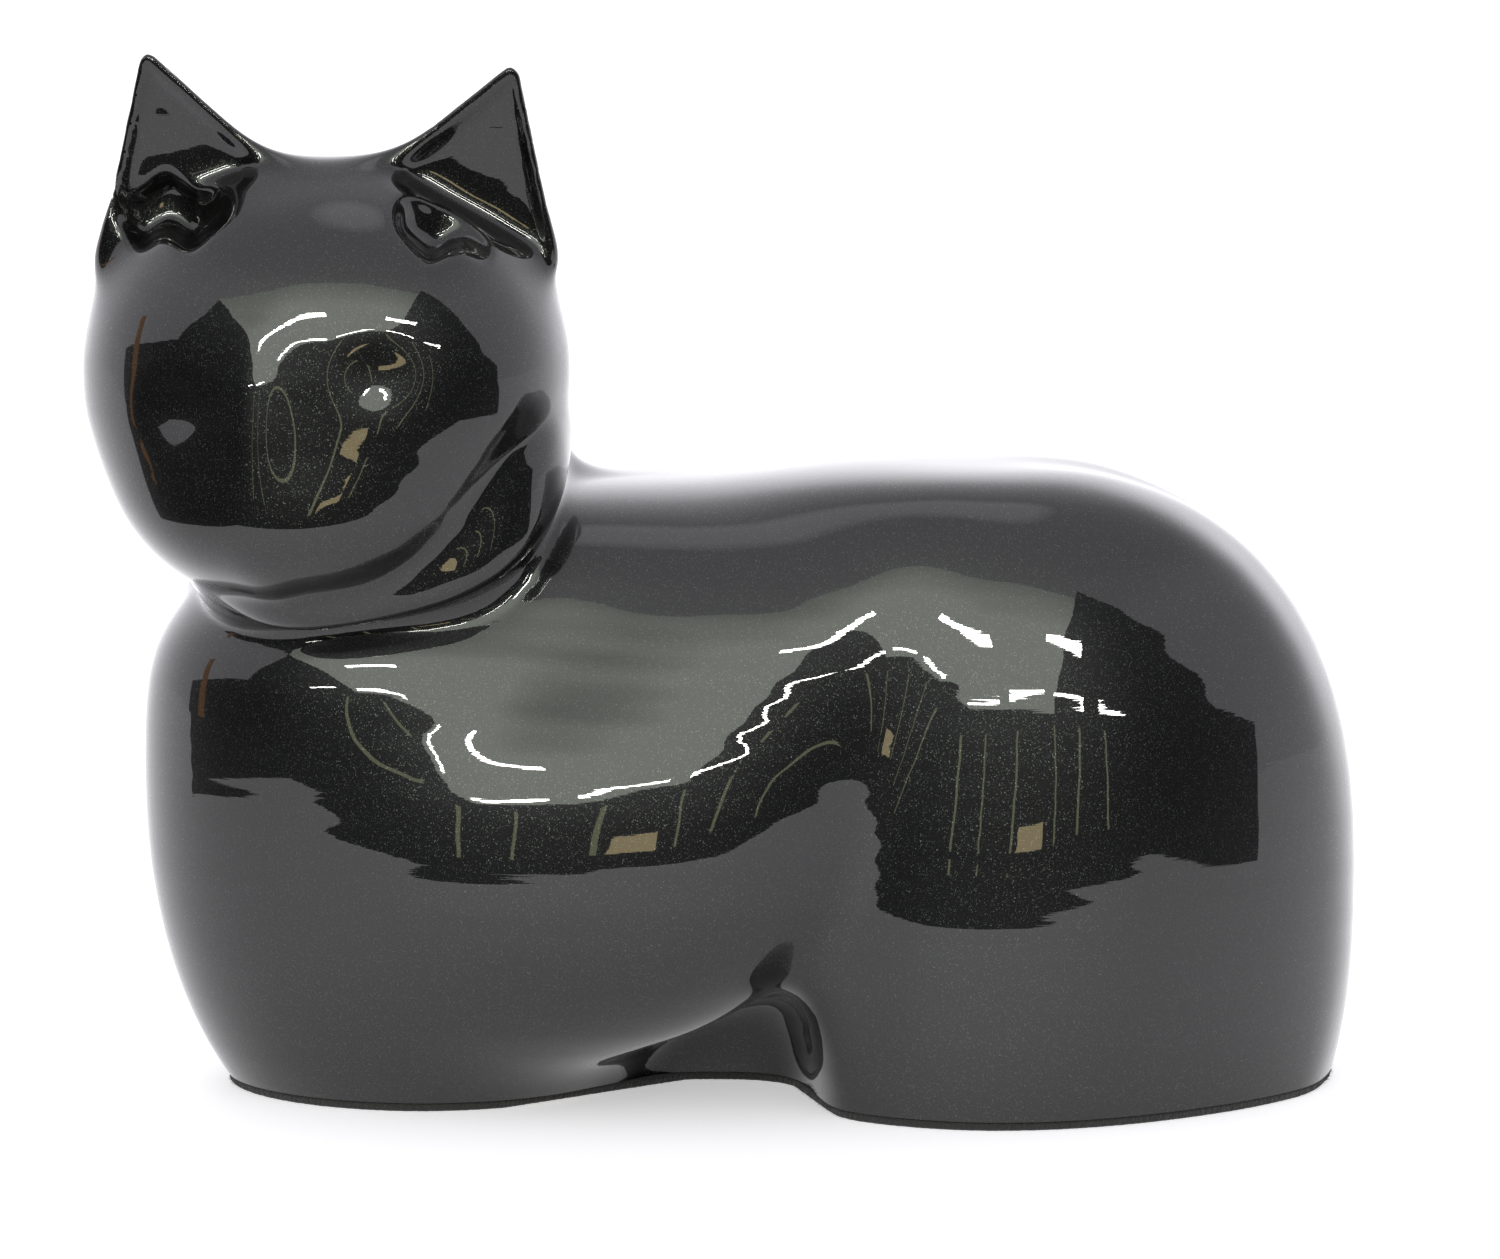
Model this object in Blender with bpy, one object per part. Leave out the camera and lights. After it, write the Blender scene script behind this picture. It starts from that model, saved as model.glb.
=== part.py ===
"""Lying cat figurine: two hollow glazed ceramic shells, a closing disc and a felt pad.

The clay form is a signed distance field in millimetres: rounded masses are joined by fillets, and hollows
are carved out of them. net_mesh() lays a mesh over the field, and Blender's modifiers make the parts of it.
+X runs along the back to the rump, the face looks to -Y, and +Z is up. The origin is on the table, under
the middle of the bounding box.
"""
import math

import bmesh
import bpy
import numpy as np
from mathutils import Matrix, Vector

MM = 0.001

# Driving dimensions, in millimetres.
WALL = 5.0
FLOOR_THICKNESS = 7.0
HOLLOW_TOP = 196.0
FELT_THICKNESS = 1.6
GAP = 0.3
POUR_HOLE_RADIUS = 20.0
VENT_RADIUS = 2.5
DISC_THICKNESS = 5.0
POUR_HOLE_CENTRE = (74.0, 17.0)

BODY_BOTTOM = FELT_THICKNESS + GAP
HEAD_CENTRE = (-84.9, -13.0, 158.5)
HEAD_TURN = -14.0
# The seam where the head is luted to the neck: a plane that rises to the rump and to the back of the head.
SEAM_POINT = (-84.0, -5.0, 127.0)
SEAM_RISE = (0.325, 0.4545)
# How the crease under the jaw rises along and across the neck, and how it bends up at both ends.
CREASE_RISE = (0.17, 0.45)
CREASE_BEND = 0.004

# The middle of the bounding box in the form's own frame, which becomes the origin.
MIDDLE = (2.27, 9.44)

# Centre, radii and turn of the hollow in front of each ear.
EAR_HOLLOWS = (((-117, -33, 196), (14, 12, 6.5), -49), ((-55.6, -42.4, 194.5), (10.5, 12, 7), 35))

# Centre and turn of each eye dip, seen from the head.
EYE_DIPS = ((-22.4, -51.9, -2.0, -24.0), (27.0, -49.9, 6.0, 32.0))

# Each ear is a three-sided pyramid given by its corners. Its dish ends at a lip, from the outer end in.
EARS = (
    {"tip": (-122.0, -34, 233.5), "outer": (-133.5, -23, 188), "inner": (-88, -25, 201.5),
     "back": (-110, 22, 186), "lip": ((-124.0, 195.0), (-105.0, 201.5))},
    {"tip": (-42.0, -34, 230.5), "outer": (-33.0, -23, 183), "inner": (-77, -25, 203),
     "back": (-54, 22, 184), "lip": ((-43.5, 188.5), (-68.0, 202.5))},
)
EAR_ROUNDING = 3.0
EAR_RIM = (3.4, 4.4)
DISH_DEPTH = 2.2

# Mesh sizes: the net's step, and the triangles left after decimation.
NET_STEP = 2.0
OUTSIDE_TRIANGLES = 5200
INSIDE_STEP = 4.0
INSIDE_TRIANGLES = 1300
NET_LOW = (-143.0, -76.0, -8.0)
NET_HIGH = (150.0, 92.0, 240.0)


def turned(points, degrees):
    """Points seen from a frame turned about Z."""
    angle = math.radians(degrees)
    c, s = math.cos(angle), math.sin(angle)
    x, y, z = points.T
    return np.stack([x * c + y * s, y * c - x * s, z], 1)


def mass(points, centre, radii, plan=2.0, side=2.0, turn=0.0, lean=(0.0, 0.0)):
    """Distance to a superellipsoid: plan squares its outline from above, side squares its profile."""
    local = turned(points - np.array(centre, float), turn)
    local = local - np.outer(local[:, 2], (lean[0], lean[1], 0.0))
    radii = np.array(radii, float)
    x, y, z = (np.abs(local) / radii + 1e-9).T
    ring = (x ** plan + y ** plan) ** (1 / plan)
    size = (ring ** side + z ** side) ** (1 / side)
    flat = size ** (1 - side) * ring ** (side - plan)
    slope_x = flat * x ** (plan - 1) / radii[0]
    slope_y = flat * y ** (plan - 1) / radii[1]
    slope_z = size ** (1 - side) * z ** (side - 1) / radii[2]
    return (size - 1) / np.sqrt(slope_x ** 2 + slope_y ** 2 + slope_z ** 2)


def join(a, b, reach):
    """Union with a fillet that starts where the two distances differ by less than reach."""
    overlap = np.maximum(reach - np.abs(a - b), 0) / reach
    return np.minimum(a, b) - overlap ** 3 * reach / 6


def meet(a, b, reach):
    """Intersection with a rounded edge."""
    return -join(-a, -b, reach)


def facet(points, a, b, c, inside):
    """Signed distance from the plane through a, b and c, negative on the side of inside."""
    a, b, c, inside = (np.array(corner, float) for corner in (a, b, c, inside))
    normal = np.cross(b - a, c - a)
    normal /= np.linalg.norm(normal)
    if normal @ (inside - a) > 0:
        normal = -normal
    return (points - a) @ normal


def ear(points, tip, outer, inner, back, lip):
    """The ear's pyramid and the dish carved in its front."""
    middle = (np.array(tip) + outer + inner + back) / 4
    front = facet(points, tip, outer, inner, middle)
    outside = facet(points, tip, outer, back, middle)
    inside = facet(points, tip, inner, back, middle)
    sides = np.stack([front, outside, inside], 1) + EAR_ROUNDING
    beyond = np.sqrt((np.maximum(sides, 0) ** 2).sum(1))
    pyramid = beyond + np.minimum(sides.max(1), 0) - EAR_ROUNDING
    (outer_x, outer_z), (inner_x, inner_z) = lip
    above_lip = facet(points, (outer_x, -30, outer_z), (inner_x, -30, inner_z), (inner_x, 0, inner_z), tip)
    dish = meet(meet(outside + EAR_RIM[0], inside + EAR_RIM[1], 2), -front - DISH_DEPTH, 3)
    dish = meet(dish, above_lip, 12)
    return meet(pyramid, 184 - points[:, 2], 10), dish


def head(points):
    """Ball with a flattened face, shallow eye dips, a soft nose and two dished ears."""
    local = turned(points - np.array(HEAD_CENTRE), HEAD_TURN)
    jaw = 1.07 - 0.2 * np.tanh((local[:, 2] + 25) / 15)
    tuck = 0.5 - 0.5 * np.tanh((local[:, 2] + 12) / 10)
    sloped = np.stack([(local[:, 0] + tuck) / (1 - 0.08 * tuck), local[:, 1] / jaw, local[:, 2]], 1)
    form = mass(sloped, (0, 0, 0), (53, 50, 49), 2.15, 2.15)
    form = join(form, mass(local, (-1, -34, -12), (9, 12.5, 28)), 9)
    for x, y, z, turn in EYE_DIPS:
        form = meet(form, -mass(local, (x, y, z), (14, 11, 10.5), turn=turn), 6)
    ears = [ear(points, **corners) for corners in EARS]
    for pyramid, _ in ears:
        form = join(form, pyramid, 15)
    for _, dish in ears:
        form = meet(form, -dish, 3.5)
    wave = np.array((0, 0, 1.2)) * np.sin(0.5 * points[:, :1] + 0.5)
    for centre, radii, turn in EAR_HOLLOWS:
        form = meet(form, -mass(points + wave, centre, radii, 2.5, 3, turn), 3.5)
    return form


def hindquarters(points):
    """Rump, back and belly, undercut behind each elbow, with a haunch on each flank."""
    rump = mass(points, (54, 17, 43), (86, 51, 97), 2.0, 3.5)
    rump = meet(rump, mass(points, (50, 17, 43), (85, 220, 95.5), 2.0, 2.5), 8)
    back = mass(points, (-20, 22, 75), (100, 53, 59.5), 2.3, 3.6)
    belly = mass(points, (0, 24, 18), (70, 24, 60), 4.0, 4.0)
    form = join(join(rump, back, 12), belly, 10)
    for side in (-1, 1):
        notch = mass(points, (-2, 14 + side * 53, 0), (29, 44, 36), 2.6, 2.0)
        form = meet(form, -notch, 14)
    envelope = mass(points, (54, 17, 43), (88, 66, 94), 1.7, 2.5)
    near, far = (
        mass(points, (85, 17 + side * 22, 25), (62, 42, 110), 2.7, 2.3, lean=(0.06, 0.0)) for side in (-1, 1)
    )
    return join(form, meet(join(near, far, 14), envelope, 12), 18)


def forequarters(points):
    """Chest, with a folded foreleg and a shoulder on each side."""
    form = mass(points, (-66, 8, 70), (62, 46.5, 92), 1.9, 2.2)
    form = meet(form, mass(points, (-65, 8, 40), (84, 62, 87)), 10)
    for side in (-1, 1):
        foreleg = mass(points, (-28, 8 + side * 22, 56), (54, 34, 42), 2.3, 2.2, lean=(0.1, 0.0))
        lean = (0.45, -side * 0.12)
        shoulder = mass(points, (-14, 8 + side * 18, 70), (56, 34, 58), 2.2, 2.2, lean=lean)
        form = join(form, join(foreleg, shoulder, 14), 20)
    return form


def cat(points):
    """The whole clay form, without its flat base. A thick collar fills the neck, and fades out at the nape."""
    neck = mass(points, (-76.5, 2, 138), (42, 40, 40), 3.0, 3.0)
    crease = points.copy()
    crease[:, 2] -= CREASE_RISE[0] * (points[:, 0] + 84) + CREASE_RISE[1] * (points[:, 1] + 5)
    crease[:, 2] -= CREASE_BEND * (points[:, 0] + 75) ** 2
    collar = mass(crease, (-74.5, -4, 139), (42, 42, 17.5), 4.5, 4.0, lean=(-0.05, 0.12))
    collar = meet(collar, mass(crease, (-70, 0, 139), (48, 52, 80)), 8)
    collar = meet(collar, points[:, 2] - 152, 8)
    nape = 0.5 + 0.5 * np.tanh((points[:, 1] - 16) / 8)
    body = join(join(hindquarters(points), forequarters(points), 14), join(neck, collar, 6), 5 + 22 * nape)
    return join(body, head(points), 6 + 20 * nape)


def outside_form(points):
    """The clay's outer surface, carried on below the table so that the underside can be cut flat."""
    return np.maximum(cat(points), NET_LOW[2] + 3 - points[:, 2])


def inside_form(points):
    """The hollow left by the slip: the form shrunk by the wall, above the floor and below the solid ears."""
    floor_top = BODY_BOTTOM + FLOOR_THICKNESS
    hollow = meet(cat(points) + WALL, floor_top - points[:, 2], 6)
    return meet(hollow, points[:, 2] - HOLLOW_TOP, 6)


def sample(field, low, step, counts):
    """The field's values on a box of points, one X slice at a time."""
    y = low[1] + step * np.arange(counts[1])
    z = low[2] + step * np.arange(counts[2])
    grid_y, grid_z = (axis.ravel() for axis in np.meshgrid(y, z, indexing="ij"))
    slices = []
    for index in range(counts[0]):
        grid_x = np.full(grid_y.size, low[0] + step * index)
        slices.append(field(np.stack([grid_x, grid_y, grid_z], 1)))
    return np.array(slices).reshape(counts)


def net_points(values):
    """One point per cell that the surface crosses: the mean of its crossings on the cell's edges."""
    cells = [n - 1 for n in values.shape]
    total = np.zeros((*cells, 3))
    crossings = np.zeros(cells)
    for axis in range(3):
        for corner in np.ndindex(2, 2, 2):
            if corner[axis]:
                continue
            start = values[tuple(slice(c, c + n) for c, n in zip(corner, cells))]
            end_corner = [c + (i == axis) for i, c in enumerate(corner)]
            end = values[tuple(slice(c, c + n) for c, n in zip(end_corner, cells))]
            crossed = (start < 0) != (end < 0)
            along = np.where(crossed, start / np.where(crossed, start - end, 1), 0)
            place = np.array(corner) + along[..., None] * np.eye(3)[axis]
            total += place * crossed[..., None]
            crossings += crossed
    active = crossings > 0
    numbers = np.full(cells, -1)
    numbers[active] = np.arange(active.sum())
    return np.argwhere(active) + total[active] / crossings[active][:, None], numbers


def net_faces(values, numbers):
    """A quad round each grid edge that the surface crosses, facing out."""
    faces = []
    inside = values < 0
    for axis in range(3):
        first, second = [slice(1, -1)] * 3, [slice(1, -1)] * 3
        first[axis], second[axis] = slice(0, -1), slice(1, None)
        here, there = inside[tuple(first)], inside[tuple(second)]
        base = np.array([int(i != axis) for i in range(3)])
        for edges, flip in ((here & ~there, 1), (there & ~here, -1)):
            cell = np.argwhere(edges) + base
            corners = []
            for step_b, step_c in ((0, 0), (1, 0), (1, 1), (0, 1)):
                shifted = cell.copy()
                shifted[:, (axis + 1) % 3] -= step_b
                shifted[:, (axis + 2) % 3] -= step_c
                corners.append(numbers[tuple(shifted.T)])
            faces.append(np.stack(corners, 1)[:, ::flip])
    return np.concatenate(faces)


def settle(field, points, rounds=4, reach=0.05):
    """Move points down the field's slope until they lie on its surface."""
    for _ in range(rounds):
        slopes = [(field(points + d) - field(points - d)) / (2 * reach) for d in np.eye(3) * reach]
        slope = np.stack(slopes, 1)
        points = points - slope * (field(points) / np.maximum((slope ** 2).sum(1), 0.05))[:, None]
    return points


def net_mesh(name, field, step):
    """A mesh over the field's surface, in metres, with its origin under the bounding box's middle."""
    low = np.array(NET_LOW)
    counts = np.ceil((np.array(NET_HIGH) - low) / step).astype(int) + 1
    values = sample(field, low, step, counts)
    cells, numbers = net_points(values)
    points = settle(field, low + cells * step)
    points -= np.array((*MIDDLE, 0.0))
    mesh = bpy.data.meshes.new(name)
    mesh.from_pydata((points * MM).tolist(), [], net_faces(values, numbers).tolist())
    return mesh


def add_object(name, mesh):
    """Link a mesh to the scene as an object."""
    thing = bpy.data.objects.new(name, mesh)
    bpy.context.scene.collection.objects.link(thing)
    return thing


def apply_modifiers(thing):
    """Replace an object's mesh by the one that its modifiers give."""
    graph = bpy.context.evaluated_depsgraph_get()
    mesh = bpy.data.meshes.new_from_object(thing.evaluated_get(graph))
    thing.modifiers.clear()
    thing.data = mesh


def decimated(name, field, step, triangles):
    """The field's surface as an object of about the given number of triangles."""
    thing = add_object(name, net_mesh(name, field, step))
    modifier = thing.modifiers.new("Decimate", "DECIMATE")
    modifier.ratio = triangles / (2 * len(thing.data.polygons))
    apply_modifiers(thing)
    return thing


def hide_cutter(cutter):
    """Mark an object as a guide that is not a part."""
    cutter.hide_render = True
    cutter.display_type = "WIRE"


def cut(thing, cutter):
    """Take the cutter's volume out of an object."""
    modifier = thing.modifiers.new("Cut", "BOOLEAN")
    modifier.operation = "DIFFERENCE"
    modifier.solver = "EXACT"
    modifier.object = cutter
    apply_modifiers(thing)


def slab(name, blank, bottom, top):
    """The part of a closed blank between two heights, with flat ends. Either height may be None."""
    shape = bmesh.new()
    shape.from_mesh(blank.data)
    for height, direction in ((bottom, -1), (top, 1)):
        if height is None:
            continue
        geometry = shape.verts[:] + shape.edges[:] + shape.faces[:]
        made = bmesh.ops.bisect_plane(
            shape, geom=geometry, plane_co=(0, 0, height * MM), plane_no=(0, 0, direction), clear_outer=True
        )
        rim = [item for item in made["geom_cut"] if isinstance(item, bmesh.types.BMEdge)]
        bmesh.ops.contextual_create(shape, geom=rim)
    bmesh.ops.recalc_face_normals(shape, faces=shape.faces)
    mesh = bpy.data.meshes.new(name)
    shape.to_mesh(mesh)
    shape.free()
    return add_object(name, mesh)


def cylinder(name, radius, bottom, top, segments=48):
    """A round solid standing on the pour hole's centre."""
    mesh = bpy.data.meshes.new(name)
    shape = bmesh.new()
    bmesh.ops.create_cone(
        shape, cap_ends=True, segments=segments, depth=(top - bottom) * MM,
        radius1=radius * MM, radius2=radius * MM
    )
    x, y = (centre - middle for centre, middle in zip(POUR_HOLE_CENTRE, MIDDLE))
    bmesh.ops.translate(shape, verts=shape.verts, vec=Vector((x, y, (bottom + top) / 2)) * MM)
    shape.to_mesh(mesh)
    shape.free()
    return add_object(name, mesh)


def seam_block(name, side):
    """A block with one face on the neck seam, half a gap to the side given: 1 above it or -1 below it."""
    normal = Vector((-SEAM_RISE[0], -SEAM_RISE[1], 1)).normalized()
    size = 400.0
    point = Vector(SEAM_POINT) - Vector((*MIDDLE, 0))
    centre = point + normal * side * (size / 2 - GAP / 2)
    turn = normal.to_track_quat("Z", "Y").to_matrix().to_4x4()
    mesh = bpy.data.meshes.new(name)
    shape = bmesh.new()
    bmesh.ops.create_cube(shape, size=size * MM, matrix=Matrix.Translation(centre * MM) @ turn)
    shape.to_mesh(mesh)
    shape.free()
    block = add_object(name, mesh)
    hide_cutter(block)
    return block


def colour(thing, name, rgb, roughness):
    """Give an object its own Principled material."""
    material = bpy.data.materials.new(name)
    material.use_nodes = True
    shader = material.node_tree.nodes["Principled BSDF"]
    shader.inputs["Base Color"].default_value = (*rgb, 1.0)
    shader.inputs["Roughness"].default_value = roughness
    shader.inputs["Metallic"].default_value = 0.0
    thing.data.materials.clear()
    thing.data.materials.append(material)


def soften(thing):
    """Shade the curved faces smooth and keep the cut edges sharp."""
    thing.data.shade_smooth()
    thing.data.set_sharp_from_angle(angle=math.radians(50))


def make_shell(name, blank, hollow, seam, pour_hole=None):
    """One hollow glazed casting: the blank above its flat base, less the hollow and the seam's far side."""
    shell = slab(name, blank, BODY_BOTTOM, None)
    cut(shell, seam)
    cut(shell, hollow)
    if pour_hole:
        cut(shell, pour_hole)
    soften(shell)
    colour(shell, name + "_glaze", (0.012, 0.012, 0.013), 0.06)
    return shell


def make_closing_disc():
    """The clay disc in the pour hole, flush with the underside, with its vent."""
    top = BODY_BOTTOM + DISC_THICKNESS
    disc = cylinder("closing_disc", POUR_HOLE_RADIUS - GAP, BODY_BOTTOM, top)
    vent = cylinder("vent_cutter", VENT_RADIUS, BODY_BOTTOM - 1, top + 1, segments=16)
    hide_cutter(vent)
    cut(disc, vent)
    soften(disc)
    colour(disc, "closing_disc_clay", (0.42, 0.35, 0.28), 0.85)


def make_felt_pad(blank):
    """The felt under the whole footprint, on the table."""
    felt = slab("felt_pad", blank, 0.0, FELT_THICKNESS)
    colour(felt, "felt_pad_felt", (0.01, 0.01, 0.01), 1.0)


def main():
    """Build the figurine in an empty scene."""
    for thing in list(bpy.data.objects):
        bpy.data.objects.remove(thing)
    blank = decimated("clay_blank", outside_form, NET_STEP, OUTSIDE_TRIANGLES)
    hollow = decimated("slip_hollow", inside_form, INSIDE_STEP, INSIDE_TRIANGLES)
    pour_hole = cylinder("pour_hole_cutter", POUR_HOLE_RADIUS, -5, BODY_BOTTOM + FLOOR_THICKNESS + 8)
    for cutter in (blank, hollow, pour_hole):
        hide_cutter(cutter)
    make_shell("body_shell", blank, hollow, seam_block("above_seam", 1), pour_hole)
    make_shell("head_shell", blank, hollow, seam_block("below_seam", -1))
    make_closing_disc()
    make_felt_pad(blank)


main()
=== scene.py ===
"""Looks for the lying cat figurine: fine glazed shells, felt with its fibres, and the studio set."""
import math

import bmesh
import bpy
import numpy as np
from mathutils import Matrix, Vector


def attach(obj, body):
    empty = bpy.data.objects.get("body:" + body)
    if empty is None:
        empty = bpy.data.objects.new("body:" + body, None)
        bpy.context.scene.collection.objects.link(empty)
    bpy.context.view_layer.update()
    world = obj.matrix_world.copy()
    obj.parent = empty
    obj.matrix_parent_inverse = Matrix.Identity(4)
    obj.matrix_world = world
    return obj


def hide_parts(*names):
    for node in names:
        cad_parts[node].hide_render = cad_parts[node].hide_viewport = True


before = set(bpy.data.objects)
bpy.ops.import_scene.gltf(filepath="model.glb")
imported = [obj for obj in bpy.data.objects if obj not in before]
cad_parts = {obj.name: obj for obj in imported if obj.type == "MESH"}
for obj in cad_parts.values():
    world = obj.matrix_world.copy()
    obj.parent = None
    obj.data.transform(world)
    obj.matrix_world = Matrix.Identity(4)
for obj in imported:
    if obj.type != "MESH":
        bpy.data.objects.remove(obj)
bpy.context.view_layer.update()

MM = 0.001

# The clay's dimensions in millimetres. Apart from the ear rims, they are the CAD's own.
FELT_THICKNESS = 1.6
GAP = 0.3
BODY_BOTTOM = FELT_THICKNESS + GAP
POUR_HOLE_RADIUS = 20.0
POUR_HOLE_DEPTH = 7.0
POUR_HOLE_CENTRE = (74.0, 17.0)
HEAD_CENTRE = (-84.9, -13.0, 158.5)
HEAD_TURN = -14.0
SEAM_POINT = (-84.0, -5.0, 127.0)
SEAM_RISE = (0.325, 0.4545)
# How the crease under the jaw rises along and across the neck, and how it bends up at both ends.
CREASE_RISE = (0.17, 0.45)
CREASE_BEND = 0.004
MIDDLE = (2.27, 9.44)

# Centre, radii and turn of the hollow in front of each ear.
EAR_HOLLOWS = (((-117, -33, 196), (14, 12, 6.5), -49), ((-55.6, -42.4, 194.5), (10.5, 12, 7), 35))

# Centre and turn of each eye dip, seen from the head.
EYE_DIPS = ((-22.4, -51.9, -2.0, -24.0), (27.0, -49.9, 6.0, 32.0))

# Each ear is a three-sided pyramid given by its corners. Its dish ends at a lip, from the outer end in.
EARS = (
    {"tip": (-122.0, -34, 233.5), "outer": (-133.5, -23, 188), "inner": (-88, -25, 201.5),
     "back": (-110, 22, 186), "lip": ((-124.0, 195.0), (-105.0, 201.5))},
    {"tip": (-42.0, -34, 230.5), "outer": (-33.0, -23, 183), "inner": (-77, -25, 203),
     "back": (-54, 22, 184), "lip": ((-43.5, 188.5), (-68.0, 202.5))},
)
EAR_FOOT = 184
EAR_ROUNDING = 3.0
# The rims are thinner here than in the CAD.
EAR_RIM = (2.2, 3.0)
DISH_DEPTH = 2.2

# The boxes and steps of the nets that each casting's surface is read from. They overlap at the seam.
BODY_NET = (np.array((-143.0, -76.0, -8.0)), np.array((150.0, 92.0, 170.0)), 2.2)
HEAD_NET = (np.array((-143.0, -76.0, 88.0)), np.array((-24.0, 60.0, 240.0)), 1.5)
COARSE = 3
DEPTH_BELOW_TABLE = 5.0


# ---- The clay form, a signed distance field in millimetres ----

def turned(points, degrees):
    """Points seen from a frame turned about Z."""
    angle = math.radians(degrees)
    c, s = math.cos(angle), math.sin(angle)
    x, y, z = points.T
    return np.stack([x * c + y * s, y * c - x * s, z], 1)


def mass(points, centre, radii, plan=2.0, side=2.0, turn=0.0, lean=(0.0, 0.0)):
    """Distance to a superellipsoid: plan squares its outline from above, side squares its profile."""
    local = turned(points - np.array(centre, float), turn)
    local = local - np.outer(local[:, 2], (lean[0], lean[1], 0.0))
    radii = np.array(radii, float)
    x, y, z = (np.abs(local) / radii + 1e-9).T
    ring = (x ** plan + y ** plan) ** (1 / plan)
    size = (ring ** side + z ** side) ** (1 / side)
    flat = size ** (1 - side) * ring ** (side - plan)
    slope_x = flat * x ** (plan - 1) / radii[0]
    slope_y = flat * y ** (plan - 1) / radii[1]
    slope_z = size ** (1 - side) * z ** (side - 1) / radii[2]
    return (size - 1) / np.sqrt(slope_x ** 2 + slope_y ** 2 + slope_z ** 2)


def join(a, b, reach):
    """Union with a fillet that starts where the two distances differ by less than reach."""
    overlap = np.maximum(reach - np.abs(a - b), 0) / reach
    return np.minimum(a, b) - overlap ** 3 * reach / 6


def meet(a, b, reach):
    """Intersection with a rounded edge."""
    return -join(-a, -b, reach)


def facet(points, a, b, c, inside):
    """Signed distance from the plane through a, b and c, negative on the side of inside."""
    a, b, c, inside = (np.array(corner, float) for corner in (a, b, c, inside))
    normal = np.cross(b - a, c - a)
    normal /= np.linalg.norm(normal)
    if normal @ (inside - a) > 0:
        normal = -normal
    return (points - a) @ normal


def ear(points, tip, outer, inner, back, lip):
    """The ear's pyramid and the dish carved in its front."""
    middle = (np.array(tip) + outer + inner + back) / 4
    front = facet(points, tip, outer, inner, middle)
    outside = facet(points, tip, outer, back, middle)
    inside = facet(points, tip, inner, back, middle)
    sides = np.stack([front, outside, inside], 1) + EAR_ROUNDING
    beyond = np.sqrt((np.maximum(sides, 0) ** 2).sum(1))
    pyramid = beyond + np.minimum(sides.max(1), 0) - EAR_ROUNDING
    (outer_x, outer_z), (inner_x, inner_z) = lip
    above_lip = facet(points, (outer_x, -30, outer_z), (inner_x, -30, inner_z), (inner_x, 0, inner_z), tip)
    dish = meet(meet(outside + EAR_RIM[0], inside + EAR_RIM[1], 2), -front - DISH_DEPTH, 3)
    dish = meet(dish, above_lip, 12)
    return meet(pyramid, EAR_FOOT - points[:, 2], 10), dish


def head(points):
    """Ball with a flattened face, shallow eye dips, a soft nose and two dished ears."""
    local = turned(points - np.array(HEAD_CENTRE), HEAD_TURN)
    jaw = 1.07 - 0.2 * np.tanh((local[:, 2] + 25) / 15)
    tuck = 0.5 - 0.5 * np.tanh((local[:, 2] + 12) / 10)
    sloped = np.stack([(local[:, 0] + tuck) / (1 - 0.08 * tuck), local[:, 1] / jaw, local[:, 2]], 1)
    form = mass(sloped, (0, 0, 0), (53, 50, 49), 2.15, 2.15)
    form = join(form, mass(local, (-1, -34, -12), (9, 12.5, 28)), 9)
    for x, y, z, turn in EYE_DIPS:
        form = meet(form, -mass(local, (x, y, z), (14, 11, 10.5), turn=turn), 6)
    ears = [ear(points, **corners) for corners in EARS]
    for pyramid, _ in ears:
        form = join(form, pyramid, 15)
    for _, dish in ears:
        form = meet(form, -dish, 3.5)
    wave = np.array((0, 0, 1.2)) * np.sin(0.5 * points[:, :1] + 0.5)
    for centre, radii, turn in EAR_HOLLOWS:
        form = meet(form, -mass(points + wave, centre, radii, 2.5, 3, turn), 3.5)
    return form


def hindquarters(points):
    """Rump, back and belly, undercut behind each elbow, with a haunch on each flank."""
    rump = mass(points, (54, 17, 43), (86, 51, 97), 2.0, 3.5)
    rump = meet(rump, mass(points, (50, 17, 43), (85, 220, 95.5), 2.0, 2.5), 8)
    back = mass(points, (-20, 22, 75), (100, 53, 59.5), 2.3, 3.6)
    belly = mass(points, (0, 24, 18), (70, 24, 60), 4.0, 4.0)
    form = join(join(rump, back, 12), belly, 10)
    for side in (-1, 1):
        notch = mass(points, (-2, 14 + side * 53, 0), (29, 44, 36), 2.6, 2.0)
        form = meet(form, -notch, 14)
    envelope = mass(points, (54, 17, 43), (88, 66, 94), 1.7, 2.5)
    near, far = (
        mass(points, (85, 17 + side * 22, 25), (62, 42, 110), 2.7, 2.3, lean=(0.06, 0.0)) for side in (-1, 1)
    )
    return join(form, meet(join(near, far, 14), envelope, 12), 18)


def forequarters(points):
    """Chest, with a folded foreleg and a shoulder on each side."""
    form = mass(points, (-66, 8, 70), (62, 46.5, 92), 1.9, 2.2)
    form = meet(form, mass(points, (-65, 8, 40), (84, 62, 87)), 10)
    for side in (-1, 1):
        foreleg = mass(points, (-28, 8 + side * 22, 56), (54, 34, 42), 2.3, 2.2, lean=(0.1, 0.0))
        lean = (0.45, -side * 0.12)
        shoulder = mass(points, (-14, 8 + side * 18, 70), (56, 34, 58), 2.2, 2.2, lean=lean)
        form = join(form, join(foreleg, shoulder, 14), 20)
    return form


def ripple(points):
    """Low brush and drain marks that run round the figure, nearly level."""
    x, y, z = points.T
    drift = 2.0 * np.sin(0.017 * x + 0.6) + 1.4 * np.sin(0.026 * y - 0.4) + 0.7 * np.sin(0.05 * x - 0.04 * z)
    level = z + drift
    swell = 0.5 + 0.5 * np.sin(0.033 * x + 0.021 * z + 1.3)
    fine = 0.5 + 0.5 * np.sin(0.041 * x - 0.03 * y + 0.07 * z)
    line = np.exp(-((level - 46) / 2.6) ** 2)
    return 0.022 * swell * np.sin(0.62 * level) + 0.012 * fine * np.sin(1.07 * level + x / 40) - 0.05 * line


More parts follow.
